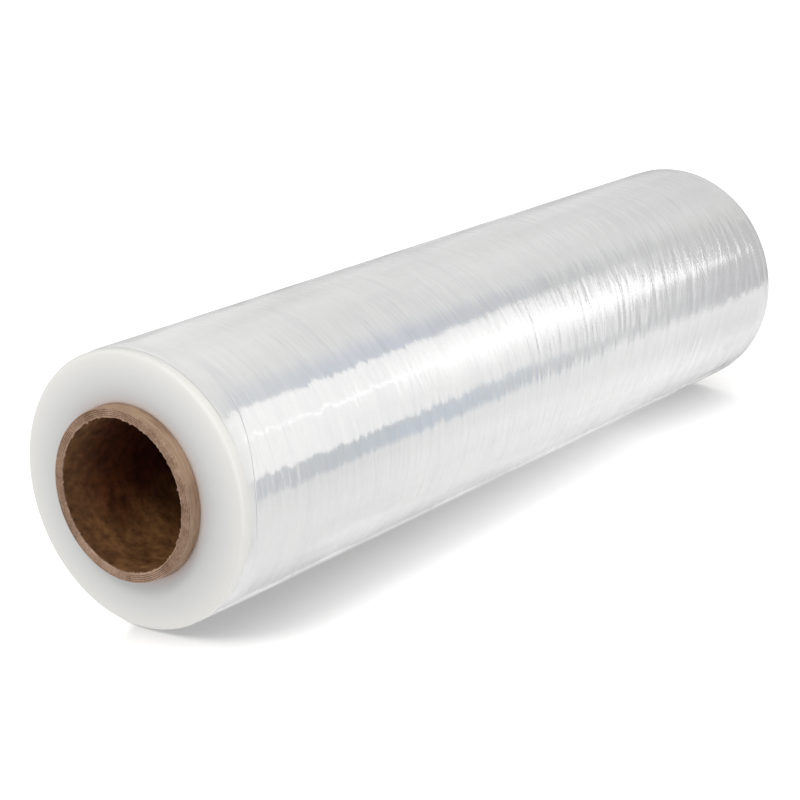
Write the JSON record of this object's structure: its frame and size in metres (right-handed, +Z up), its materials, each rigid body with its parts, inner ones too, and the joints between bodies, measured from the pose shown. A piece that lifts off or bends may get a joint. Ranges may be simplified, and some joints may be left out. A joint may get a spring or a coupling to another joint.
{
  "type": "stretch wrap roll",
  "caption": "Long roll of clear stretch film wound on a spiral paperboard core that sticks out a little at both ends.",
  "frame": {"origin": "centre of the core's lower end ring, the end that the roll stands on", "axes": "+Z up the roll's axis, from the end it stands on to the end that faces the picture's camera; -Y is the side that is uppermost in the picture and +X is the side away from its camera"},
  "size_m": [0.138, 0.138, 0.5235],
  "materials": {
    "core_board": "uncoated wound paperboard, matt, darker and mottled inside",
    "clear_film": "thousands of turns of clear film, milky white in bulk, glossy outside with fine wrinkles round the roll"
  },
  "bodies": {
    "root": {"cardboard_core": "core_board", "film_roll": "clear_film"}
  },
  "joints": []
}
